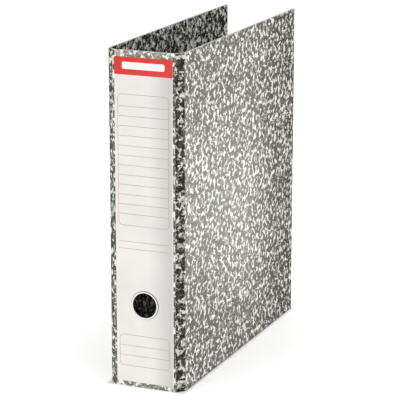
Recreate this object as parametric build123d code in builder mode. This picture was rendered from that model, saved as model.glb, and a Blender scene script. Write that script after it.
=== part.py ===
"""A4 lever arch file: a creased board case with a lever arch mechanism on its back cover.

Millimetres. The file stands on its bottom edges: +Z is up, the spine faces -Y, the front
cover is on +X and the back cover, which carries the mechanism, is on -X. The origin is at
the centre of the footprint.
"""

import os
from math import cos, radians, sin, tan

from build123d import *

# ---------------------------------------------------------------- case
case_height = 318.0
case_depth = 285.0
spine_flat = 61.4  # the flat of the spine between its two creases
bevel_leg = 7.0  # each 45 degree bevel, along X and along Y
crease_bend = 45.0
wrap_thickness = 0.2  # marbled outer paper
board_thickness = 1.6
lining_thickness = 0.2
crease_cut_back = 0.02  # how far each panel stops short of a crease

# ---------------------------------------------------------------- label and finger ring
label_width = 57.6
label_bottom = 4.6
label_top = 312.0
label_thickness = 0.15
label_corner = 1.0
ring_height = 80.5  # centre of the finger hole above the bottom edge
ring_inner_radius = 11.8
ring_barrel_radius = 12.4
ring_flange_radius = 13.7
ring_flange_height = 0.8
ring_lip_radius = 13.6
ring_lip_height = 0.5
ring_lip_slope = 0.2
washer_radius = 14.8
washer_thickness = 0.5
washer_round = 0.3
finger_hole_radius = 12.5  # through the papers and the board

# ---------------------------------------------------------------- mechanism
# Its places are (across, height, along): across is measured from the arch axis away from
# the spine, height from the back cover's inner face, and along from the file's middle.
arch_axis_from_spine = 31.0
post_across = 47.0
post_along = 40.0  # half of the 80 mm that punched holes are apart
plate_thickness = 1.0
plate_near_edge = -9.0
plate_far_edge = 55.0
plate_length = 150.0
plate_corner = 8.0
bead_radius = 1.1  # stiffening beads pressed into the plate
bead_height = 0.55
bead_round = 0.5
bead_across = (14.0, 25.0)
bead_start = 20.0
bead_end = 62.0
rivet_places = [(4.0, -67.0), (4.0, 67.0), (44.0, -67.0), (44.0, 67.0)]
rivet_radius = 1.95
rivet_hole_radius = 2.0
rivet_head_radius = 5.0
rivet_head_height = 0.7
rivet_inner_head_radius = 3.3
rivet_inner_head_height = 0.9
head_round_share = 0.7  # how much of a rivet or pin head's height is rounded over

wire_radius = 2.0
wire_axis_height = 4.5
arch_top_height = 58.0
arch_corner = 20.0
wire_corner = 4.0
crank_reach = 28.2
crank_along = 12.0
tip_point_height = 34.9
tip_point_radius = 0.35
tip_shoulder_height = 36.55
tip_end_height = 37.3
lug_bore_radius = 2.08
lug_wall = 1.1
lug_width = 6.0
lug_along = (21.0, 31.0)

post_radius = 2.5
post_top_height = 36.0
post_dimple_radius = 1.8
post_chamfer = 0.4
collar_radius = 4.5
collar_top_height = 3.9
tenon_radius = 1.95
tenon_hole_radius = 2.0

lever_pivot_across = 35.0
lever_pivot_height = 19.0
lever_rest_tilt = 8.0  # degrees that the lever dips towards the spine
lever_half_width = 6.8
lever_sheet = 1.0
lever_web_start = 2.0
lever_hub_radius = 4.5
lever_tip_along = 44.0
lever_tip_drop = 0.6
lever_tip_radius = 3.0
lever_curl_start = 46.0
lever_curl_radius = 2.2
lever_curl_angle = 130.0
lever_bore_radius = 1.56
ear_inner_face = 7.3
ear_thickness = 1.2
ear_near_base = 31.4  # leaves room for the crank
ear_far_base = 40.6
ear_radius = 4.5
pin_radius = 1.5
pin_hole_radius = 1.52
pin_head_radius = 2.6
pin_head_height = 1.0
roller_arm = 11.2  # lever pivot to roller axis
roller_arm_angle = 42.6  # degrees below the lever's own line
roller_ear_radius = 2.6
roller_ear_root_radius = 3.6  # where the roller ear leaves the hub
roller_radius = 3.4
roller_bore_radius = 1.56
roller_half_length = 5.3

spring_half_width = 4.0
spring_thickness = 0.5
leaf_flat_start = 38.0  # the riveted flat of the leaf
leaf_flat_end = 47.5
leaf_tip = 21.0
leaf_tip_lift = 0.1
leaf_tip_slope = 0.25
leaf_crank_gap = 0.3
spring_rivet_across = 43.0
spring_hole_radius = 1.52
spring_rivet_radius = 1.5
spring_rivet_head_radius = 2.6
spring_rivet_head_height = 0.9

bar_near_edge = 41.5
bar_far_edge = 63.5
bar_half_length = 66.0
bar_corner = 5.0
bar_height = 4.0
bar_thickness = 1.0
bar_lip_height = 3.0
bar_lip_half_length = 56.0
bar_post_hole_radius = 2.8
bridge_near = 41.9
bridge_far = 54.5
bridge_wall = 1.1
bridge_top_thickness = 0.9
bridge_width = 8.0
bridge_along = 22.0
catch_near_edge = 43.2
catch_far_edge = 53.2
catch_bottom_end = -47.0
catch_top_end = 53.0
catch_thickness = 0.8
catch_clearance = 0.05
catch_narrow_radius = 2.6
catch_wide_radius = 3.4
catch_travel = 3.0
catch_tab_half_width = 4.0
catch_tab_height = 6.0

# ---------------------------------------------------------------- worked out
wall_thickness = wrap_thickness + board_thickness + lining_thickness
spine_y = -case_depth / 2
half_width = spine_flat / 2 + bevel_leg
back_inner_x = wall_thickness - half_width
arch_axis_y = spine_y + arch_axis_from_spine
middle_z = case_height / 2
catch_height = bar_height + bar_thickness + catch_clearance
lever_tilt_sin = sin(radians(lever_rest_tilt))
lever_tilt_cos = cos(radians(lever_rest_tilt))
roller_place = (
    roller_arm * cos(radians(roller_arm_angle)),
    -roller_arm * sin(radians(roller_arm_angle)),
)

# Looking at the spine from outside, x to the right and y up.
spine_plane = Plane(origin=(0, spine_y, 0), x_dir=(1, 0, 0), z_dir=(0, -1, 0))
# Radius along x and height off the spine along y, for the ring's turned section.
ring_plane = Plane(origin=(0, spine_y, ring_height), x_dir=(1, 0, 0), z_dir=(0, 0, -1))
ring_axis = Axis(origin=(0, spine_y, ring_height), direction=(0, -1, 0))
# Across along x, along as y and height as z, on the back cover's inner face.
cover_plane = Plane(
    origin=(back_inner_x, arch_axis_y, middle_z), x_dir=(0, 1, 0), z_dir=(1, 0, 0)
)


def mechanism_point(across, height, along):
    """A point of the mechanism in the part's own frame."""
    return (back_inner_x + height, arch_axis_y + across, middle_z + along)


def section_plane(along, across=0.0):
    """A plane across the mechanism, with across along x and height along y."""
    return Plane(
        origin=mechanism_point(across, 0, along), x_dir=(0, 1, 0), z_dir=(0, 0, -1)
    )


def lever_plane(along):
    """A plane with its origin on the lever's pivot and x along the lever to its tip."""
    return Plane(
        origin=mechanism_point(lever_pivot_across, lever_pivot_height, along),
        x_dir=(-lever_tilt_sin, -lever_tilt_cos, 0),
        z_dir=(0, 0, 1),
    )


def save(piece, label):
    """Name a finished piece and write its STEP file."""
    piece.part.label = label
    export_step(piece.part, f"parts/{label}.step")


def layer_outline(start, end, outer_depth, inner_depth, creased_start, creased_end):
    """Corners of one layer of a panel, with its ends mitred where they meet a crease."""
    along = (end - start).normalized()
    inward = along.rotate(Axis.Z, 90)
    mitre = tan(radians(crease_bend / 2))

    def corner(base, direction, depth, creased):
        shift = depth * mitre + crease_cut_back if creased else 0.0
        return base + direction * shift + inward * depth

    return [
        corner(start, along, outer_depth, creased_start),
        corner(end, -along, outer_depth, creased_end),
        corner(end, -along, inner_depth, creased_end),
        corner(start, along, inner_depth, creased_start),
    ]


os.makedirs("parts", exist_ok=True)

# ---------------------------------------------------------------- the five panels
# The case's outer surface, from the back cover's free edge round to the front cover's.
back_edge = Vector(-half_width, case_depth / 2)
back_crease = Vector(-half_width, spine_y + bevel_leg)
spine_back_crease = Vector(-spine_flat / 2, spine_y)
spine_front_crease = Vector(spine_flat / 2, spine_y)
front_crease = Vector(half_width, spine_y + bevel_leg)
front_edge = Vector(half_width, case_depth / 2)

# name, first edge, second edge, and whether each edge is a crease
panels = [
    ("back_cover", back_edge, back_crease, False, True),
    ("back_hinge", back_crease, spine_back_crease, True, True),
    ("spine", spine_back_crease, spine_front_crease, True, True),
    ("front_hinge", spine_front_crease, front_crease, True, True),
    ("front_cover", front_crease, front_edge, True, False),
]
# name, and how deep the layer starts and ends below the outer surface
layers = [
    ("wrap", 0.0, wrap_thickness),
    ("board", wrap_thickness, wrap_thickness + board_thickness),
    ("lining", wrap_thickness + board_thickness, wall_thickness),
]

for panel_name, start, end, creased_start, creased_end in panels:
    for layer_name, outer_depth, inner_depth in layers:
        outline = layer_outline(
            start, end, outer_depth, inner_depth, creased_start, creased_end
        )
        with BuildPart() as panel_layer:
            with BuildSketch(Plane.XY):
                with BuildLine():
                    Polyline(*outline, close=True)
                make_face()
            extrude(amount=case_height)
            if panel_name == "spine":
                with BuildSketch(spine_plane):
                    with Locations((0, ring_height)):
                        Circle(finger_hole_radius)
                extrude(amount=wall_thickness, both=True, mode=Mode.SUBTRACT)
            if panel_name == "back_cover":
                with BuildSketch(cover_plane):
                    with Locations(*rivet_places):
                        Circle(rivet_hole_radius)
                extrude(amount=wall_thickness, both=True, mode=Mode.SUBTRACT)
        save(panel_layer, f"{panel_name}_{layer_name}")

# ---------------------------------------------------------------- spine label
with BuildPart() as spine_label:
    with BuildSketch(spine_plane):
        with Locations((0, (label_bottom + label_top) / 2)):
            RectangleRounded(label_width, label_top - label_bottom, label_corner)
        with Locations((0, ring_height)):
            Circle(finger_hole_radius, mode=Mode.SUBTRACT)
    extrude(amount=label_thickness)
save(spine_label, "spine_label")

# ---------------------------------------------------------------- finger ring
# One turned section: the flange outside, the barrel, and the lip rolled over the washer.
flange_foot = label_thickness
washer_back = -wall_thickness - washer_thickness
ring_back = washer_back - ring_lip_height
flange_shoulder = flange_foot + ring_flange_height / 2
flange_crown = (
    (ring_inner_radius + ring_flange_radius) / 2,
    flange_foot + ring_flange_height,
)

with BuildPart() as finger_ring:
    with BuildSketch(ring_plane):
        with BuildLine():
            Line((ring_inner_radius, ring_back), (ring_inner_radius, flange_shoulder))
            ThreePointArc(
                (ring_inner_radius, flange_shoulder),
                flange_crown,
                (ring_flange_radius, flange_foot),
            )
            Polyline(
                (ring_flange_radius, flange_foot),
                (ring_barrel_radius, flange_foot),
                (ring_barrel_radius, washer_back),
                (ring_lip_radius, washer_back),
                (ring_lip_radius - ring_lip_slope, ring_back),
                (ring_inner_radius, ring_back),
            )
        make_face()
    revolve(axis=ring_axis)
save(finger_ring, "finger_ring")

with BuildPart() as finger_ring_washer:
    with BuildSketch(spine_plane.offset(-wall_thickness)):
        with Locations((0, ring_height)):
            Circle(washer_radius)
            Circle(finger_hole_radius, mode=Mode.SUBTRACT)
    extrude(amount=-washer_thickness)
    washer_rim = finger_ring_washer.edges().filter_by(GeomType.CIRCLE).sort_by(Axis.Y)
    fillet(washer_rim.group_by(Axis.Y)[-1].sort_by(SortBy.RADIUS)[-1], radius=washer_round)
save(finger_ring_washer, "finger_ring_washer")

# ---------------------------------------------------------------- base plate
plate_middle = (plate_near_edge + plate_far_edge) / 2
lug_outer_radius = lug_bore_radius + lug_wall
lug_places = [side * place for place in lug_along for side in (-1, 1)]
post_places = [(post_across, -post_along), (post_across, post_along)]
bead_middle = (bead_start + bead_end) / 2
bead_places = [(across, side * bead_middle) for across in bead_across for side in (-1, 1)]

with BuildPart() as base_plate:
    with BuildSketch(cover_plane):
        with Locations((plate_middle, 0)):
            RectangleRounded(plate_far_edge - plate_near_edge, plate_length, plate_corner)
    extrude(amount=plate_thickness)
    # Stiffening beads, pressed up on both sides of the lever.
    with BuildSketch(cover_plane.offset(plate_thickness)):
        with Locations(*bead_places):
            SlotOverall(bead_end - bead_start, 2 * bead_radius, rotation=90)
    extrude(amount=bead_height)
    bead_crowns = base_plate.faces().filter_by(Plane.YZ).group_by(Axis.X)[-1].edges()
    fillet(bead_crowns, radius=bead_round)
    # Four lugs that hold the wire on its axis.
    for along in lug_places:
        with BuildSketch(section_plane(along)):
            with BuildLine():
                Polyline(
                    (lug_outer_radius, wire_axis_height),
                    (lug_outer_radius, 0),
                    (-lug_outer_radius, 0),
                    (-lug_outer_radius, wire_axis_height),
                )
                RadiusArc(
                    (-lug_outer_radius, wire_axis_height),
                    (lug_outer_radius, wire_axis_height),
                    lug_outer_radius,
                )
            make_face()
            with Locations((0, wire_axis_height)):
                Circle(lug_bore_radius, mode=Mode.SUBTRACT)
        extrude(amount=lug_width / 2, both=True)
    # Two ears for the lever's pin.
    for side in (-1, 1):
        with BuildSketch(section_plane(side * (ear_inner_face + ear_thickness / 2))):
            with Locations((lever_pivot_across, lever_pivot_height)):
                Circle(ear_radius)
            with Locations(((ear_near_base + ear_far_base) / 2, plate_thickness / 2)):
                Rectangle(ear_far_base - ear_near_base, plate_thickness)
            make_hull()
            with Locations((lever_pivot_across, lever_pivot_height)):
                Circle(pin_hole_radius, mode=Mode.SUBTRACT)
        extrude(amount=ear_thickness / 2, both=True)
    # Holes for the rivets, the posts' tenons and the spring's rivet.
    with BuildSketch(cover_plane):
        with Locations(*rivet_places):
            Circle(rivet_hole_radius)
        with Locations(*post_places):
            Circle(tenon_hole_radius)
        with Locations((spring_rivet_across, 0)):
            Circle(spring_hole_radius)
    extrude(amount=plate_thickness, mode=Mode.SUBTRACT)
save(base_plate, "base_plate")

# ---------------------------------------------------------------- rivets through the board
with BuildPart() as plate_rivets:
    with BuildSketch(cover_plane.offset(-wall_thickness)):
        with Locations(*rivet_places):
            Circle(rivet_radius)
    extrude(amount=wall_thickness + plate_thickness)
    with BuildSketch(cover_plane.offset(-wall_thickness)):
        with Locations(*rivet_places):
            Circle(rivet_head_radius)
    extrude(amount=-rivet_head_height)
    with BuildSketch(cover_plane.offset(plate_thickness)):
        with Locations(*rivet_places):
            Circle(rivet_inner_head_radius)
    extrude(amount=rivet_inner_head_height)
    rivet_faces = plate_rivets.faces().filter_by(Plane.YZ).group_by(Axis.X)
    fillet(rivet_faces[0].edges(), radius=rivet_head_height * head_round_share)
    fillet(rivet_faces[-1].edges(), radius=rivet_inner_head_height * head_round_share)
save(plate_rivets, "plate_rivets")

# ---------------------------------------------------------------- fixed posts
with BuildPart() as fixed_posts:
    for across, along in post_places:
        with BuildSketch(section_plane(along, across)):
            with BuildLine():
                Polyline(
                    (0, 0),
                    (tenon_radius, 0),
                    (tenon_radius, plate_thickness),
                    (collar_radius, plate_thickness),
                    (collar_radius, collar_top_height),
                    (post_radius, collar_top_height),
                    (post_radius, post_top_height - post_chamfer),
                    (post_radius - post_chamfer, post_top_height),
                    (post_dimple_radius, post_top_height),
                    (0, post_top_height - post_dimple_radius),
                    close=True,
                )
            make_face()
        revolve(axis=Axis(origin=mechanism_point(across, 0, along), direction=(1, 0, 0)))
save(fixed_posts, "fixed_posts")

# ---------------------------------------------------------------- arch wire
half_wire = [
    (post_across, tip_end_height, post_along),
    (post_across, arch_top_height, post_along),
    (0, arch_top_height, post_along),
    (0, wire_axis_height, post_along),
    (0, wire_axis_height, crank_along),
    (crank_reach, wire_axis_height, crank_along),
]
other_half = [(across, height, -along) for across, height, along in reversed(half_wire)]
wire_points = [mechanism_point(*place) for place in half_wire + other_half]
half_corners = [arch_corner, arch_corner, wire_corner, wire_corner, wire_corner]

with BuildPart() as arch_wire:
    with BuildLine() as wire_path:
        FilletPolyline(*wire_points, radius=half_corners + half_corners[::-1])
    with BuildSketch(Plane(origin=wire_points[0], z_dir=(1, 0, 0))):
        Circle(wire_radius)
    sweep(path=wire_path.wires()[0])
    # A pointed tip on each arch, which sits in the dimple of its post.
    for along in (-post_along, post_along):
        with BuildSketch(section_plane(along, post_across)):
            with BuildLine():
                Polyline(
                    (0, tip_point_height),
                    (tip_point_radius, tip_point_height),
                    (wire_radius, tip_shoulder_height),
                    (wire_radius, tip_end_height),
                    (0, tip_end_height),
                    close=True,
                )
            make_face()
        revolve(
            axis=Axis(origin=mechanism_point(post_across, 0, along), direction=(1, 0, 0))
        )
save(arch_wire, "arch_wire")

# ---------------------------------------------------------------- spring under the crank
leaf_height = plate_thickness + spring_thickness / 2
leaf_contact_height = wire_axis_height - wire_radius - leaf_crank_gap - spring_thickness / 2

with BuildPart() as opening_spring:
    with BuildSketch(section_plane(0)):
        with BuildLine():
            Line((leaf_flat_end, leaf_height), (leaf_flat_start, leaf_height))
            Spline(
                (leaf_flat_start, leaf_height),
                (crank_reach, leaf_contact_height),
                (leaf_tip, leaf_height + leaf_tip_lift),
                tangents=[(-1, 0), (-1, -leaf_tip_slope)],
            )
        trace(line_width=spring_thickness)
    extrude(amount=spring_half_width, both=True)
    with BuildSketch(cover_plane):
        with Locations((spring_rivet_across, 0)):
            Circle(spring_hole_radius)
    extrude(amount=bar_height, mode=Mode.SUBTRACT)
save(opening_spring, "opening_spring")

with BuildPart() as spring_rivet:
    spring_top = plate_thickness + spring_thickness
    with BuildSketch(cover_plane):
        with Locations((spring_rivet_across, 0)):
            Circle(spring_rivet_radius)
    extrude(amount=spring_top)
    with BuildSketch(cover_plane.offset(spring_top)):
        with Locations((spring_rivet_across, 0)):
            Circle(spring_rivet_head_radius)
    extrude(amount=spring_rivet_head_height)
    fillet(
        spring_rivet.edges().filter_by(GeomType.CIRCLE).sort_by(Axis.X)[-1],
        radius=spring_rivet_head_height * head_round_share,
    )
save(spring_rivet, "spring_rivet")

# ---------------------------------------------------------------- lever
half_sheet = lever_sheet / 2

with BuildPart() as lever:
    for side in (-1, 1):
        wall_plane = lever_plane(side * (lever_half_width - half_sheet))
        with BuildSketch(wall_plane):
            Circle(lever_hub_radius)
            with Locations((lever_tip_along, lever_tip_drop)):
                Circle(lever_tip_radius)
            make_hull()
        extrude(amount=half_sheet, both=True)
        with BuildSketch(wall_plane):
            Circle(roller_ear_root_radius)
            with Locations(roller_place):
                Circle(roller_ear_radius)
            make_hull()
        extrude(amount=half_sheet, both=True)
        with BuildSketch(wall_plane):
            Circle(lever_bore_radius)
            with Locations(roller_place):
                Circle(pin_hole_radius)
        extrude(amount=lever_sheet, both=True, mode=Mode.SUBTRACT)
    # The web over both walls, ending in the finger curl.
    web_start = (lever_web_start, lever_hub_radius - half_sheet)
    web_end = (lever_curl_start, lever_tip_drop + lever_tip_radius - half_sheet)
    with BuildSketch(lever_plane(0)):
        with BuildLine():
            web_line = Line(web_start, web_end)
            JernArc(web_end, web_line % 1, lever_curl_radius, lever_curl_angle)
        trace(line_width=lever_sheet)
    extrude(amount=lever_half_width, both=True)
save(lever, "lever")

with BuildPart() as lever_pin:
    ear_outer_face = ear_inner_face + ear_thickness
    with BuildSketch(lever_plane(0)):
        Circle(pin_radius)
    extrude(amount=ear_outer_face, both=True)
    for side in (-1, 1):
        with BuildSketch(lever_plane(side * ear_outer_face)):
            Circle(pin_head_radius)
        extrude(amount=side * pin_head_height)
    pin_ends = lever_pin.faces().filter_by(Plane.XY).sort_by(Axis.Z)
    fillet(pin_ends[0].edges() + pin_ends[-1].edges(), radius=pin_head_height * head_round_share)
save(lever_pin, "lever_pin")

with BuildPart() as lever_roller:
    with BuildSketch(lever_plane(0)):
        with Locations(roller_place):
            Circle(roller_radius)
            Circle(roller_bore_radius, mode=Mode.SUBTRACT)
    extrude(amount=roller_half_length, both=True)
save(lever_roller, "lever_roller")

with BuildPart() as roller_pin:
    with BuildSketch(lever_plane(0)):
        with Locations(roller_place):
            Circle(pin_radius)
    extrude(amount=lever_half_width, both=True)
save(roller_pin, "roller_pin")

# ---------------------------------------------------------------- compressor
bar_middle = (bar_near_edge + bar_far_edge) / 2
bar_top = bar_height + bar_thickness

with BuildPart() as compressor_bar:
    with BuildSketch(cover_plane.offset(bar_height)):
        with Locations((bar_middle, 0)):
            RectangleRounded(bar_far_edge - bar_near_edge, 2 * bar_half_length, bar_corner)
        with Locations(*post_places):
            Circle(bar_post_hole_radius, mode=Mode.SUBTRACT)
    extrude(amount=bar_thickness)
    # The far edge is turned up to stiffen the bar.
    with BuildSketch(cover_plane.offset(bar_height)):
        with Locations((bar_far_edge - bar_thickness / 2, 0)):
            Rectangle(bar_thickness, 2 * bar_lip_half_length)
    extrude(amount=bar_thickness + bar_lip_height)
    # Two bridges that guide the catch.
    for along in (-bridge_along, bridge_along):
        with BuildSketch(section_plane(along)):
            inner_height = catch_thickness + 2 * catch_clearance
            outer_height = inner_height + bridge_top_thickness
            bridge_middle = (bridge_near + bridge_far) / 2
            bridge_span = bridge_far - bridge_near
            with Locations((bridge_middle, bar_top + outer_height / 2)):
                Rectangle(bridge_span, outer_height)
            with Locations((bridge_middle, bar_top + inner_height / 2)):
                Rectangle(bridge_span - 2 * bridge_wall, inner_height, mode=Mode.SUBTRACT)
        extrude(amount=bridge_width / 2, both=True)
save(compressor_bar, "compressor_bar")

with BuildPart() as compressor_catch:
    catch_middle = (catch_near_edge + catch_far_edge) / 2
    catch_length = catch_top_end - catch_bottom_end
    with BuildSketch(cover_plane.offset(catch_height)):
        with Locations((catch_middle, (catch_top_end + catch_bottom_end) / 2)):
            Rectangle(catch_far_edge - catch_near_edge, catch_length)
    extrude(amount=catch_thickness)
    # A keyhole at each post: the narrow end grips, the wide end lets the bar slide.
    for across, along in post_places:
        with BuildSketch(cover_plane.offset(catch_height)):
            with Locations((across, along)):
                Circle(catch_narrow_radius)
            with Locations((across, along - catch_travel)):
                Circle(catch_wide_radius)
            make_hull()
        extrude(amount=catch_thickness, mode=Mode.SUBTRACT)
    # The thumb tab, turned up at the upper end.
    with BuildSketch(cover_plane.offset(catch_height)):
        with Locations((catch_middle, catch_top_end - catch_thickness / 2)):
            Rectangle(2 * catch_tab_half_width, catch_thickness)
    extrude(amount=catch_tab_height)
save(compressor_catch, "compressor_catch")
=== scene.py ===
"""A lever arch file: its papers, boards, printed label and plated metal, in a plain pale studio.

Lengths are in metres, written as millimetres times MM, and places are in the frame's own axes: X runs
across the spine, Y from the spine to the fore edge, and Z up the standing file. Colours are display
colours, 0 to 255 a channel. A noise's scale is its cells per metre.
"""

from math import cos, pi, radians, sin

import bmesh
import bpy
from mathutils import Euler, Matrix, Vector


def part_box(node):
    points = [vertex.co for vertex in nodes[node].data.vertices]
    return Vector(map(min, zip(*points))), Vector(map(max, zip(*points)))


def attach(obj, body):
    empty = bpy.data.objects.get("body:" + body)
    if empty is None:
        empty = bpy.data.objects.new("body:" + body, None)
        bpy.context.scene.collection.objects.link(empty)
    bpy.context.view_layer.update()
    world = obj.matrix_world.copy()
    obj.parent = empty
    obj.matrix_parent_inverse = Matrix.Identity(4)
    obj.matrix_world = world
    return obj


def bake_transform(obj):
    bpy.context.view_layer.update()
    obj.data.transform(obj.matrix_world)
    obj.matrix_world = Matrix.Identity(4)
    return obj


MM = 0.001

# Case, read from the frame
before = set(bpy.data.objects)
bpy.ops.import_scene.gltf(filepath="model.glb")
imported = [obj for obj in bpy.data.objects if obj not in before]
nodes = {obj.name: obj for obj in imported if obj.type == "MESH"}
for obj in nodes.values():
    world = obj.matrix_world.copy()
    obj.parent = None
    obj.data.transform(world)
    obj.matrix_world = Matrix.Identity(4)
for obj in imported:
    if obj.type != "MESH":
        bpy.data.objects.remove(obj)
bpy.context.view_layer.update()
SPINE_LOW, SPINE_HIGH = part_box("spine_wrap")
FRONT_LOW, FRONT_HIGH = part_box("front_cover_wrap")
LABEL_LOW, LABEL_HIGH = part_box("spine_label")
RING_LOW, RING_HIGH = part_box("finger_ring")
LINING_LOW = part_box("front_cover_lining")[0]
CASE_HEIGHT = SPINE_HIGH.z - SPINE_LOW.z
FORE_EDGE = FRONT_HIGH.y
SPINE_CREASE = (SPINE_HIGH.x, SPINE_LOW.y)
COVER_CREASE = (FRONT_HIGH.x, FRONT_LOW.y)
WALL = FRONT_HIGH.x - LINING_LOW.x

# Printed label: heights are from the foot of the file, and rules are (lowest, highest, how many)
INK_LIFT = 0.03 * MM
BAND_BOTTOM = 295.6 * MM
LABEL_CORNER = 1.0 * MM
BAR_HALF = 21.0 * MM
BAR_SPAN = (300.9 * MM, 307.4 * MM)
BAR_CORNER = 1.5 * MM
RULE_WIDTH = 0.36 * MM
FRAME_LEFT = -25.7 * MM
FRAME_RIGHT = 24.6 * MM
FRAME_CORNER = 4.0 * MM
CORNER_STEPS = 8
TITLE_FRAME = (155.5 * MM, 277.8 * MM)
TITLE_RULES = (166.3 * MM, 266.8 * MM, 12)
FOOT_FRAME = (20.2 * MM, 50.2 * MM)
FOOT_RULES = (30.3 * MM, 39.8 * MM, 2)
WORD_RULES = (133.4 * MM, 140.2 * MM, 2)

# Label paper: painted shade greys it across X, up to a painted highlight along its right edge
LABEL_SHADE_SPAN = (2 * MM, LABEL_HIGH.x - 0.8 * MM)
LABEL_SHADE_MOST = 0.75
EDGE_HIGHLIGHT_SPAN = (LABEL_HIGH.x - 0.5 * MM, LABEL_HIGH.x - 0.9 * MM)

# Marbled paper: how far its pattern is drawn out of true, how much its flecks crowd or thin out, how soft
# their edges are, over what width the print darkens beside the label, and the tint of the varnish's shine
MARBLE_WANDER = 5 * MM
MARBLE_CROWDING = 0.015
FLECK_SOFTNESS = 0.022
MARGIN_BLEND = 0.5 * MM
VARNISH_TINT = (255, 243, 224)

# Wear and painted shade of the marbled paper: hands dull its varnish towards the fore edge, where its print
# also darkens as painted shade for the sheen falling off; its foot darkens as a painted contact shadow; and
# its creases, top rim and fore edge are rubbed, from nothing at the first distance to fully at the second
WEAR_AND_SHADE_SPAN = (-5 * MM, 150 * MM)
HANDLED_MATT = 0.5
FORE_EDGE_SHADE = 0.2
FOOT_SPAN = (1.3 * MM, 0.7 * MM)
FOOT_SHADOW = 0.9
# Colour of the painted shade towards the fore edge and of the painted shadow at the foot
PAINTED_SHADE_TONE = (38, 38, 35)
RUBBED_CREASE = (0.9 * MM, 0.2 * MM)
RUBBED_EDGE = (0.9 * MM, 0.1 * MM)
RUBBED_PAPER = (214, 208, 196)
RUB_STRENGTH = 0.55

# Finger ring: how far in from its outer edge the painted shade of each rim begins, and where it is full
RING_ROUGHNESS = 0.2
OUTER_RIM_SHADE = (0.55 * MM, 0.3 * MM)
INNER_RIM_SHADE = (1.6 * MM, 1.85 * MM)

# Broken edges of the pressed and cut metal
PRESSED_NODES = ("base_plate", "lever", "compressor_bar", "compressor_catch", "opening_spring")
WELD_REACH = 0.001 * MM
EDGE_BREAK = 0.12 * MM
EDGE_BREAK_SEGMENTS = 2
EDGE_BREAK_ANGLE = radians(50)

# Crease papers: how far they run onto each panel, how much thicker they are in the middle than at their
# ends, and how far they stand off the lining and the ends of the case
CREASE_REACH = 2.6 * MM
CREASE_PAPER = 0.08 * MM
CREASE_END = 0.01 * MM
CREASE_LIFT = 0.01 * MM
CREASE_INSET = 0.3 * MM
CREASE_STEPS = 12

# Camera
CAMERA_PLACE = (0.728, -1.716, 0.626)
CAMERA_TURN = radians(23.15)
CAMERA_DROP = radians(14.4)
CAMERA_LENS = 177.0
CAMERA_SENSOR = 36.0

# Studio: the sky's span is the part of its Y direction over which it fades from front to back
FLOOR_SIZE = 14.0
FLOOR_CELLS = 8
FLOOR_GLOW = 0.3
FLOOR_FADE = 4 * MM
SKY_SPAN = (-0.3, 0.7)
SKY_FRONT_TO_BACK = (0.92, 0.38)
AREA_LIGHTS = {
    "key_light": dict(place=(-1.4, -1.6, 1.9), aim=(0, 0, 0.15), side=1.4, power=3),
    "top_light": dict(place=(0.3, 0.2, 2.2), aim=(0, 0, 0.1), side=1.6, power=12),
}
SPOT_PLACE = (0.31, 0.62, 0.97)
SPOT_POWER = 48
SPOT_CONE = radians(63)
SPOT_BLEND = 0.8
SPOT_RADIUS = 0.1


# ---------------------------------------------------------------- shader helpers


class Shader:
    """A material's node tree with short calls for the nodes used here."""

    # The mix node's colour sockets go by number, because its other sockets have the same names
    FIRST_COLOUR, SECOND_COLOUR, MIXED_COLOUR = 6, 7, 2

    def __init__(self, name, **surface):
        self.material = bpy.data.materials.new(name)
        self.material.use_nodes = True
        self.tree = self.material.node_tree
        self.surface = self.tree.nodes["Principled BSDF"]
        for socket, value in surface.items():
            self.surface.inputs[socket.replace("_", " ")].default_value = value
        self.place = self.add("ShaderNodeTexCoord").outputs["Object"]

    def add(self, kind, settings=(), **inputs):
        node = self.tree.nodes.new(kind)
        for key, value in dict(settings).items():
            setattr(node, key, value)
        for key, value in inputs.items():
            self.feed(node.inputs[key.replace("_", " ")], value)
        return node

    def feed(self, socket, value):
        if isinstance(value, bpy.types.NodeSocket):
            self.tree.links.new(value, socket)
        else:
            socket.default_value = value

    def axis(self, letter):
        """One coordinate of the shaded point: X, Y or Z."""
        return self.add("ShaderNodeSeparateXYZ", Vector=self.place).outputs[letter]

    def math(self, operation, *values):
        node = self.add("ShaderNodeMath", {"operation": operation})
        for socket, value in zip(node.inputs, values):
            self.feed(socket, value)
        return node.outputs[0]

    def vector(self, operation, first, second, out="Vector"):
        node = self.add("ShaderNodeVectorMath", {"operation": operation})
        self.feed(node.inputs[0], first)
        self.feed(node.inputs["Scale" if operation == "SCALE" else 1], second)
        return node.outputs[out]

    def noise(self, scale, place=None, detail=2.0, roughness=0.5, distortion=0.0, out="Fac"):
        node = self.add(
            "ShaderNodeTexNoise",
            Vector=place or self.place,
            Scale=scale,
            Detail=detail,
            Roughness=roughness,
            Distortion=distortion,
        )
        return node.outputs[out]

    def ramp(self, value, low, high, start=0.0, end=1.0, smooth=True):
        """From start, where the value is at low, to end, where it is at high."""
        node = self.add(
            "ShaderNodeMapRange",
            {"interpolation_type": "SMOOTHSTEP" if smooth else "LINEAR"},
            Value=value,
            From_Min=low,
            From_Max=high,
            To_Min=start,
            To_Max=end,
        )
        return node.outputs["Result"]

    def mix(self, factor, first, second):
        node = self.add("ShaderNodeMix", {"data_type": "RGBA"})
        self.feed(node.inputs["Factor"], factor)
        self.feed(node.inputs[self.FIRST_COLOUR], first)
        self.feed(node.inputs[self.SECOND_COLOUR], second)
        return node.outputs[self.MIXED_COLOUR]

    def bump(self, height, distance, strength, under=None):
        node = self.add("ShaderNodeBump", Height=height, Distance=distance, Strength=strength)
        if under is not None:
            self.feed(node.inputs["Normal"], under)
        return node.outputs["Normal"]

    def finish(self, colour, roughness=None, normal=None):
        for socket, value in (("Base Color", colour), ("Roughness", roughness), ("Normal", normal)):
            if value is not None:
                self.feed(self.surface.inputs[socket], value)
        return self.material


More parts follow.
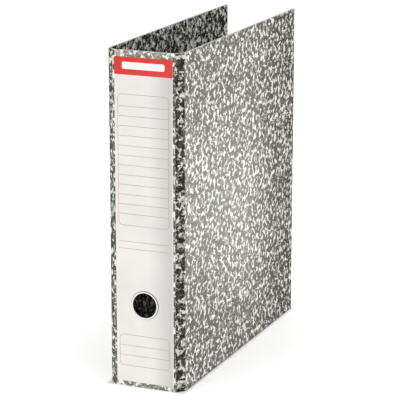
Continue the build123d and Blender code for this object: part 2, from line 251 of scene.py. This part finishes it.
def linear(channel):
    """One display channel, 0 to 255, as linear light on the sRGB curve."""
    level = channel / 255
    return level / 12.92 if level <= 0.04045 else ((level + 0.055) / 1.055) ** 2.4


def tone(*channels):
    """A display colour as the linear colour that a shader takes."""
    return (*map(linear, channels), 1.0)


# ---------------------------------------------------------------- materials


def rubbed_edges(shader):
    """1 where handling rubs the print off, on the creases, top rim and fore edge, broken up by fibre."""
    from_middle = shader.math("ABSOLUTE", shader.axis("X"))
    section = shader.add("ShaderNodeCombineXYZ", X=from_middle, Y=shader.axis("Y")).outputs["Vector"]
    from_creases = [
        shader.vector("DISTANCE", section, (*crease, 0), out="Value")
        for crease in (SPINE_CREASE, COVER_CREASE)
    ]
    near_crease = shader.ramp(shader.math("MINIMUM", *from_creases), *RUBBED_CREASE)
    near_rim = shader.ramp(shader.axis("Z"), *(CASE_HEIGHT - inset for inset in RUBBED_EDGE))
    near_fore = shader.ramp(shader.axis("Y"), *(FORE_EDGE - inset for inset in RUBBED_EDGE))
    edge = shader.math("MAXIMUM", near_crease, shader.math("MAXIMUM", near_rim, near_fore))
    fibre = shader.ramp(shader.noise(700, detail=3), 0.46, 0.6)
    return shader.math("MULTIPLY", edge, fibre)


def marbled_print(shader, ground, patch, dull_fleck, fleck, fleck_level, grain, margin):
    """The colour of the print: dark ground, greyer patches, and pale flecks joined by thin veins."""
    wander = shader.vector("SUBTRACT", shader.noise(grain * 1.3, out="Color"), (0.5, 0.5, 0.5))
    bent = shader.vector("ADD", shader.place, shader.vector("SCALE", wander, MARBLE_WANDER))
    vein_place = shader.vector("ADD", bent, (0.37, 0.11, 0.53))
    patch_place = shader.vector("ADD", bent, (0.71, 0.43, 0.19))

    crowds = shader.noise(grain * 0.2, patch_place, detail=1)
    crowding = shader.ramp(crowds, 0.3, 0.7, -MARBLE_CROWDING, MARBLE_CROWDING, smooth=False)
    blobs = shader.math("ADD", shader.noise(grain, bent, detail=3), crowding)
    on_blob = shader.ramp(blobs, fleck_level, fleck_level + FLECK_SOFTNESS)
    bands = shader.noise(grain * 0.7, vein_place)
    from_band = shader.math("ABSOLUTE", shader.math("SUBTRACT", bands, 0.5))
    veined = shader.ramp(shader.noise(grain * 0.5, patch_place, detail=1), 0.45, 0.55)
    on_vein = shader.math("MULTIPLY", shader.ramp(from_band, 0.016, 0.008), veined)
    on_fleck = shader.math("MAXIMUM", on_blob, on_vein)

    on_patch = shader.ramp(shader.noise(grain * 0.8, patch_place, detail=4, roughness=0.6), 0.5, 0.53)
    dark = shader.mix(on_patch, tone(*ground), tone(*patch))
    if margin:
        from_middle = shader.math("ABSOLUTE", shader.axis("X"))
        beside_label = shader.ramp(from_middle, LABEL_HIGH.x, LABEL_HIGH.x + MARGIN_BLEND)
        dark = shader.mix(beside_label, dark, tone(*margin))
    bright = shader.ramp(shader.noise(grain * 0.9, vein_place), 0.38, 0.54)
    pale = shader.mix(bright, tone(*dull_fleck), tone(*fleck))
    return shader.mix(on_fleck, dark, pale)


def marbled_paper(name, roughness, specular, foot_shadow=FOOT_SHADOW, margin=None, **pattern):
    """Printed cloud marble under varnish, dulled by hands, with painted shade towards the fore edge and a
    painted shadow at its foot. A margin is the ground's colour beside the label.
    """
    shader = Shader(
        name, IOR=1.42, Roughness=roughness, Specular_IOR_Level=specular, Specular_Tint=tone(*VARNISH_TINT)
    )
    # Towards the fore edge the varnish dulls, and the print darkens as painted shade for its sheen falling
    # off
    worn_and_shaded = shader.ramp(shader.axis("Y"), *WEAR_AND_SHADE_SPAN)
    # A painted contact shadow along the foot
    shadow_at_foot = shader.ramp(shader.axis("Z"), *FOOT_SPAN, 0, foot_shadow)
    painted_shade = shader.math("MAXIMUM", shader.math("MULTIPLY", worn_and_shaded, FORE_EDGE_SHADE), shadow_at_foot)
    rubbed = rubbed_edges(shader)
    colour = marbled_print(shader, margin=margin, **pattern)
    colour = shader.mix(painted_shade, colour, tone(*PAINTED_SHADE_TONE))
    colour = shader.mix(shader.math("MULTIPLY", rubbed, RUB_STRENGTH), colour, tone(*RUBBED_PAPER))

    fibre = shader.noise(2600, detail=3, roughness=0.7)
    waves = shader.noise(45, detail=1)
    normal = shader.bump(waves, 0.25 * MM, 0.35)
    normal = shader.bump(fibre, 0.02 * MM, 0.35, normal)
    varnish = shader.ramp(fibre, 0.3, 0.7, roughness - 0.04, roughness + 0.06)
    worn = shader.math("MULTIPLY_ADD", worn_and_shaded, HANDLED_MATT, shader.math("ADD", varnish, rubbed))
    return shader.finish(colour, worn, normal)


def grey_board(name):
    """Recycled board: grey-brown pulp with pale and dark fibres, in layers that show on its cut edges."""
    shader = Shader(name, Roughness=0.9, IOR=1.4)
    pulp = shader.noise(240, detail=4, roughness=0.7)
    stretched = shader.vector("MULTIPLY", shader.place, (1, 1, 0.2))
    fibres = shader.noise(1500, stretched, detail=3, roughness=0.75, distortion=0.8)
    colour = shader.mix(shader.ramp(pulp, 0.3, 0.7), tone(188, 184, 174), tone(212, 209, 200))
    colour = shader.mix(shader.ramp(fibres, 0.6, 0.72), colour, tone(234, 231, 222))
    colour = shader.mix(shader.ramp(fibres, 0.36, 0.28), colour, tone(128, 124, 116))
    return shader.finish(colour, normal=shader.bump(fibres, 0.08 * MM, 0.7))


def label_paper(name):
    """Smooth coated white paper with faint fibre, with painted shade towards its right side up to a painted
    highlight at its right edge.
    """
    shader = Shader(name, Roughness=0.5, IOR=1.48)
    fibre = shader.noise(1900, detail=3, roughness=0.7)
    cloud = shader.noise(28)
    across = shader.axis("X")
    # Painted shade across the label, faded out over its last millimetre as a painted highlight along the
    # right edge
    short_of_highlight = shader.ramp(across, *EDGE_HIGHLIGHT_SPAN)
    label_shade = shader.math("MULTIPLY", shader.ramp(across, *LABEL_SHADE_SPAN, 0, LABEL_SHADE_MOST), short_of_highlight)
    colour = shader.mix(shader.ramp(cloud, 0.3, 0.7), tone(231, 228, 224), tone(237, 234, 230))
    colour = shader.mix(label_shade, colour, tone(192, 190, 186))
    colour = shader.mix(shader.ramp(fibre, 0.62, 0.75, 0, 0.25), colour, tone(222, 218, 210))
    normal = shader.bump(cloud, 0.15 * MM, 0.3)
    normal = shader.bump(fibre, 0.012 * MM, 0.4, normal)
    return shader.finish(colour, shader.ramp(fibre, 0.3, 0.7, 0.44, 0.56), normal)


def ink(name, colour, worn):
    """Offset ink on the label, a little thin where the paper's fibre stands up."""
    shader = Shader(name, Roughness=0.42, IOR=1.5)
    fibre = shader.noise(2200, detail=3, roughness=0.7)
    cloud = shader.noise(60)
    body = shader.mix(shader.ramp(cloud, 0.3, 0.7), tone(*colour), tone(*worn))
    body = shader.mix(shader.ramp(fibre, 0.64, 0.8, 0, 0.35), body, tone(240, 225, 220))
    normal = shader.bump(fibre, 0.01 * MM, 0.4)
    return shader.finish(body, shader.ramp(fibre, 0.3, 0.7, 0.36, 0.5), normal)


def plated_metal(name, colour, shade, roughness, line_depth):
    """Plated metal with fine drawing lines along Z, a faint cloud in the plating and small rubbed specks."""
    shader = Shader(name, Metallic=1.0, Roughness=roughness)
    drawn = shader.vector("MULTIPLY", shader.place, (1, 1, 0.04))
    lines = shader.noise(3200, drawn, detail=3, roughness=0.6)
    cloud = shader.noise(70)
    specks = shader.ramp(shader.noise(1300), 0.68, 0.74, 0, 0.6)
    speck = [0.7 * channel for channel in shade]
    body = shader.mix(shader.ramp(cloud, 0.25, 0.75), tone(*shade), tone(*colour))
    body = shader.mix(shader.ramp(lines, 0.35, 0.65, 0, 0.35), body, tone(*shade))
    body = shader.mix(specks, body, tone(*speck))
    brushed = shader.ramp(lines, 0.3, 0.7, roughness - 0.06, roughness + 0.08)
    return shader.finish(body, brushed, shader.bump(lines, line_depth, 0.5))


def ring_plate(name):
    """The finger ring's bright plating, with painted shade in the two rims where it meets the label and the
    hole.
    """
    centre = (RING_LOW + RING_HIGH) / 2
    outer = (RING_HIGH.x - RING_LOW.x) / 2
    shader = Shader(name, Metallic=1.0, Roughness=RING_ROUGHNESS)
    on_face = shader.vector("MULTIPLY", shader.place, (1, 0, 1))
    radius = shader.vector("DISTANCE", on_face, (centre.x, 0, centre.z), out="Value")
    inset = shader.math("SUBTRACT", outer, radius)
    in_rim = shader.math("MAXIMUM", shader.ramp(inset, *OUTER_RIM_SHADE), shader.ramp(inset, *INNER_RIM_SHADE))
    cloud = shader.noise(160, detail=3, roughness=0.6)
    # Painted shade in the two rims, broken up by the cloud
    rim_shade = shader.math("MULTIPLY", in_rim, shader.ramp(cloud, 0.2, 0.5, 0.7, 1))
    plate = shader.mix(shader.ramp(cloud, 0.35, 0.65), tone(236, 235, 232), tone(250, 250, 248))
    body = shader.mix(rim_shade, plate, tone(52, 52, 54))
    scratches = shader.noise(1500, detail=3, roughness=0.7)
    scratched = shader.ramp(scratches, 0.3, 0.7, RING_ROUGHNESS - 0.05, RING_ROUGHNESS + 0.1)
    return shader.finish(body, scratched, shader.bump(scratches, 0.004 * MM, 0.4))


def studio_floor(name):
    """Matt white paper sweep with a slight glow, which stops at the file's footprint."""
    shader = Shader(name, Roughness=0.95, IOR=1.3, Emission_Color=(1, 1, 1, 1))
    past_side = shader.math("SUBTRACT", shader.math("ABSOLUTE", shader.axis("X")), FRONT_HIGH.x)
    past_end = shader.math("SUBTRACT", shader.math("ABSOLUTE", shader.axis("Y")), FORE_EDGE)
    past_case = shader.math("MAXIMUM", past_side, past_end)
    glow = shader.ramp(past_case, 0, FLOOR_FADE, 0, FLOOR_GLOW)
    shader.feed(shader.surface.inputs["Emission Strength"], glow)
    grain = shader.noise(60)
    colour = shader.mix(shader.ramp(grain, 0.3, 0.7), tone(246, 246, 246), tone(250, 250, 250))
    return shader.finish(colour, normal=shader.bump(grain, 0.05 * MM, 0.2))


MARBLED_PAPERS = {
    "marbled_paper": dict(
        ground=(34, 32, 27),
        patch=(52, 50, 44),
        dull_fleck=(222, 219, 209),
        fleck=(250, 248, 240),
        fleck_level=0.54,
        grain=215,
        roughness=0.3,
        specular=0.9,
    ),
    "hinge_marbled_paper": dict(
        ground=(24, 24, 21),
        patch=(62, 62, 56),
        dull_fleck=(176, 177, 168),
        fleck=(222, 222, 212),
        fleck_level=0.55,
        grain=240,
        roughness=0.36,
        specular=0.3,
    ),
    # The back hinge's copy of the hinge paper: rougher varnish with less shine as wear, and a lighter print
    # as painted light on the back bevel
    "back_hinge_worn_and_lit_paper": dict(
        ground=(40, 40, 36),
        patch=(84, 84, 77),
        dull_fleck=(190, 191, 182),
        fleck=(240, 240, 232),
        fleck_level=0.545,
        grain=245,
        roughness=0.5,
        specular=0.1,
    ),
    # The spine's copy of the paper: its lighter ground and patches are painted sheen for the varnish's
    # reflection, with darker ground beside the label
    "spine_sheen_painted_paper": dict(
        ground=(118, 119, 108),
        patch=(156, 158, 146),
        dull_fleck=(200, 202, 192),
        fleck=(246, 246, 238),
        fleck_level=0.535,
        grain=210,
        roughness=0.34,
        specular=0.5,
        foot_shadow=0,
        margin=(70, 70, 63),
    ),
    "dark_marbled_paper": dict(
        ground=(22, 22, 19),
        patch=(46, 46, 42),
        dull_fleck=(168, 168, 160),
        fleck=(240, 240, 230),
        fleck_level=0.53,
        grain=240,
        roughness=0.7,
        specular=0.08,
    ),
}
MATERIALS = {
    **{name: marbled_paper(name, **look) for name, look in MARBLED_PAPERS.items()},
    "grey_board": grey_board("grey_board"),
    "label_paper": label_paper("label_paper"),
    "nickel_plate": plated_metal("nickel_plate", (222, 221, 216), (204, 202, 197), 0.14, 0.003 * MM),
    "plated_steel": plated_metal("plated_steel", (196, 198, 199), (176, 178, 180), 0.26, 0.006 * MM),
    "spring_steel": plated_metal("spring_steel", (148, 149, 152), (118, 120, 125), 0.28, 0.006 * MM),
    "ring_plate": ring_plate("ring_plate"),
}
RED_INK = ink("red_ink", (214, 36, 31), (224, 52, 46))
WHITE_INK = ink("white_ink", (246, 244, 240), (250, 249, 246))
RULE_INK = ink("rule_ink", (180, 122, 128), (192, 138, 142))


# ---------------------------------------------------------------- scene and mesh helpers


def link_object(name, data):
    """A new object in the scene that holds the given mesh, light or camera."""
    thing = bpy.data.objects.new(name, data)
    bpy.context.scene.collection.objects.link(thing)
    return thing


def mesh_object(name, bm, material):
    """A new object in the scene from a finished bmesh, with its faces turned outward."""
    bmesh.ops.recalc_face_normals(bm, faces=bm.faces)
    mesh = bpy.data.meshes.new(name)
    bm.to_mesh(mesh)
    bm.free()
    mesh.materials.append(material)
    return link_object(name, mesh)


def join_rings(bm, first, second):
    """A band of quads between two closed rings of as many corners each."""
    count = len(first)
    for i in range(count):
        j = (i + 1) % count
        bm.faces.new((first[i], first[j], second[j], second[i]))


# ---------------------------------------------------------------- printed label


def rounded_outline(left, right, low, high, radius):
    """A rounded rectangle's corner points on the label's face, as (x, z), anticlockwise."""
    corners = [
        (right - radius, low + radius, -90),
        (right - radius, high - radius, 0),
        (left + radius, high - radius, 90),
        (left + radius, low + radius, 180),
    ]
    points = []
    for x, z, first in corners:
        for step in range(CORNER_STEPS + 1):
            angle = radians(first + 90 * step / CORNER_STEPS)
            points.append((x + radius * cos(angle), z + radius * sin(angle)))
    return points


def ring_on_label(bm, outline, lift):
    """An outline's corners as a ring of vertices, lifted off the label's face."""
    return [bm.verts.new((x, LABEL_LOW.y - lift, z)) for x, z in outline]


def slab(bm, outline, under=0.0):
    """A closed film of ink, INK_LIFT thick, over what is already printed under it."""
    back = ring_on_label(bm, outline, under)
    front = ring_on_label(bm, outline, under + INK_LIFT)
    bm.faces.new(front)
    bm.faces.new(list(reversed(back)))
    join_rings(bm, back, front)


def hoop(bm, outer, inner):
    """A closed film of ink between two outlines of as many points each."""
    rings = [ring_on_label(bm, outline, lift) for outline in (outer, inner) for lift in (0, INK_LIFT)]
    outer_back, outer_front, inner_back, inner_front = rings
    around = [outer_back, outer_front, inner_front, inner_back, outer_back]
    for first, second in zip(around, around[1:]):
        join_rings(bm, first, second)


def rule_lines(bm, rules, left, right):
    """Evenly spaced thin rules across the label."""
    low, high, count = rules
    half = RULE_WIDTH / 2
    for index in range(count):
        z = low + (high - low) * index / (count - 1)
        slab(bm, [(left, z - half), (right, z - half), (right, z + half), (left, z + half)])


def add_print(name, bm, material):
    """Finishes a printed piece, which rides on the spine."""
    piece = mesh_object(name, bm, material)
    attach(piece, "spine")


def print_red_band():
    """The plain red band at the head of the label, with a blank white write-in bar on it."""
    bm = bmesh.new()
    slab(bm, rounded_outline(LABEL_LOW.x, LABEL_HIGH.x, BAND_BOTTOM, LABEL_HIGH.z, LABEL_CORNER))
    add_print("label_red_band", bm, RED_INK)
    bm = bmesh.new()
    slab(bm, rounded_outline(-BAR_HALF, BAR_HALF, *BAR_SPAN, BAR_CORNER), under=INK_LIFT)
    add_print("label_write_in_bar", bm, WHITE_INK)


def print_frame(name, span, rules):
    """A rounded write-in frame with rules across it."""
    low, high = span
    half = RULE_WIDTH / 2
    outer, inner = (
        rounded_outline(FRAME_LEFT - grow, FRAME_RIGHT + grow, low - grow, high + grow, FRAME_CORNER + grow)
        for grow in (half, -half)
    )
    bm = bmesh.new()
    hoop(bm, outer, inner)
    rule_lines(bm, rules, FRAME_LEFT + half, FRAME_RIGHT - half)
    add_print(name, bm, RULE_INK)


def print_word_rules():
    """The two rules between the frames."""
    bm = bmesh.new()
    rule_lines(bm, WORD_RULES, FRAME_LEFT, FRAME_RIGHT)
    add_print("label_word_rules", bm, RULE_INK)


# ---------------------------------------------------------------- crease papers


def crease_paper(name, hand, crease, first, second):
    """The strip of lining that bridges a crease inside.

    first and second are the two panels, each as (the way it runs from the crease, its inward normal). They
    and the crease are given as the front has them, and a hand of -1 mirrors them for the back.
    """
    crease, run_a, in_a, run_b, in_b = (Vector((hand * x, y, 0)) for x, y in (crease, *first, *second))
    corner = crease + (in_a + in_b) * (WALL / (1 + in_a.dot(in_b)))
    end_a = corner + run_a * CREASE_REACH
    end_b = corner + run_b * CREASE_REACH
    inward = (in_a + in_b).normalized()
    foot = Vector((0, 0, CREASE_INSET))
    head = Vector((0, 0, CASE_HEIGHT - CREASE_INSET))
    bm = bmesh.new()
    sections = []
    for step in range(CREASE_STEPS + 1):
        t = step / CREASE_STEPS
        curve = end_a * (1 - t) ** 2 + corner * 2 * t * (1 - t) + end_b * t**2
        thickness = CREASE_END + CREASE_PAPER * sin(pi * t) ** 0.5
        glued = curve + inward * CREASE_LIFT
        seen = glued + inward * thickness
        corners = (glued + foot, glued + head, seen + head, seen + foot)
        sections.append([bm.verts.new(place) for place in corners])
    for section, following in zip(sections, sections[1:]):
        join_rings(bm, section, following)
    bm.faces.new(sections[0])
    bm.faces.new(sections[-1])
    for face in bm.faces:
        face.smooth = True
    piece = mesh_object(name, bm, MATERIALS["dark_marbled_paper"])
    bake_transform(piece)


def line_creases():
    """A lining strip inside each of the four creases."""
    diagonal = 0.5**0.5
    spine = ((-1, 0), (0, 1))
    hinge_from_spine = ((diagonal, diagonal), (-diagonal, diagonal))
    hinge_from_cover = ((-diagonal, -diagonal), (-diagonal, diagonal))
    cover = ((0, 1), (-1, 0))
    for side, hand in (("front", 1), ("back", -1)):
        crease_paper(f"{side}_spine_crease_paper", hand, SPINE_CREASE, spine, hinge_from_spine)
        crease_paper(f"{side}_cover_crease_paper", hand, COVER_CREASE, hinge_from_cover, cover)


# ---------------------------------------------------------------- CAD nodes


OWN_MATERIALS = {
    "spine_wrap": "spine_sheen_painted_paper",
    "front_hinge_wrap": "hinge_marbled_paper",
    "back_hinge_wrap": "back_hinge_worn_and_lit_paper",
    "finger_ring": "ring_plate",
}


def break_edges(node):
    """Takes the sharpness off a pressed or cut metal piece, so that its edges catch light."""
    weld = node.modifiers.new("weld", "WELD")
    weld.merge_threshold = WELD_REACH
    bevel = node.modifiers.new("broken_edges", "BEVEL")
    bevel.width = EDGE_BREAK
    bevel.segments = EDGE_BREAK_SEGMENTS
    bevel.limit_method = "ANGLE"
    bevel.angle_limit = EDGE_BREAK_ANGLE
    bevel.harden_normals = True


def finish_cad_nodes():
    """Gives each node its own material or the one for its slot, and breaks the pressed metal's edges."""
    for name, node in nodes.items():
        slot = node.material_slots[0]
        slot.material = MATERIALS[OWN_MATERIALS.get(name, slot.material.name)]
        if name in PRESSED_NODES:
            break_edges(node)


# ---------------------------------------------------------------- studio


def build_floor():
    bm = bmesh.new()
    bmesh.ops.create_grid(bm, x_segments=FLOOR_CELLS, y_segments=FLOOR_CELLS, size=FLOOR_SIZE / 2)
    mesh_object("studio_floor", bm, studio_floor("studio_floor"))


def build_sky():
    """A white sky, brighter in front of the file than behind it."""
    world = bpy.data.worlds.new("studio_world")
    world.use_nodes = True
    tree = world.node_tree
    direction = tree.nodes.new("ShaderNodeTexCoord").outputs["Generated"]
    axes = tree.nodes.new("ShaderNodeSeparateXYZ")
    tree.links.new(direction, axes.inputs["Vector"])
    fade = tree.nodes.new("ShaderNodeMapRange")
    tree.links.new(axes.outputs["Y"], fade.inputs["Value"])
    for socket, value in zip(("From Min", "From Max", "To Min", "To Max"), (*SKY_SPAN, *SKY_FRONT_TO_BACK)):
        fade.inputs[socket].default_value = value
    background = tree.nodes["Background"]
    background.inputs["Color"].default_value = (1, 1, 1, 1)
    tree.links.new(fade.outputs["Result"], background.inputs["Strength"])
    bpy.context.scene.world = world


def add_light(name, kind, place, power):
    data = bpy.data.lights.new(name, kind)
    data.energy = power
    light = link_object(name, data)
    light.location = place
    return light


def build_lights():
    """Two soft lights above, and a spot straight down behind the file, which the covers' varnish mirrors."""
    for name, look in AREA_LIGHTS.items():
        light = add_light(name, "AREA", look["place"], look["power"])
        light.data.size = look["side"]
        facing = Vector(look["aim"]) - Vector(look["place"])
        light.rotation_euler = facing.to_track_quat("-Z", "Y").to_euler()
    spot = add_light("sweep_spot", "SPOT", SPOT_PLACE, SPOT_POWER)
    spot.data.spot_size = SPOT_CONE
    spot.data.spot_blend = SPOT_BLEND
    spot.data.shadow_soft_size = SPOT_RADIUS


def build_camera():
    data = bpy.data.cameras.new("photo_camera")
    data.lens = CAMERA_LENS
    data.sensor_width = CAMERA_SENSOR
    camera = link_object("photo_camera", data)
    camera.location = CAMERA_PLACE
    camera.rotation_euler = Euler((pi / 2 - CAMERA_DROP, 0, CAMERA_TURN), "XYZ")
    bpy.context.scene.camera = camera
    bpy.context.scene.view_settings.view_transform = "Standard"


# ---------------------------------------------------------------- the scene


print_red_band()
print_frame("label_title_frame", TITLE_FRAME, TITLE_RULES)
print_frame("label_foot_frame", FOOT_FRAME, FOOT_RULES)
print_word_rules()
line_creases()
finish_cad_nodes()
build_floor()
build_sky()
build_lights()
build_camera()
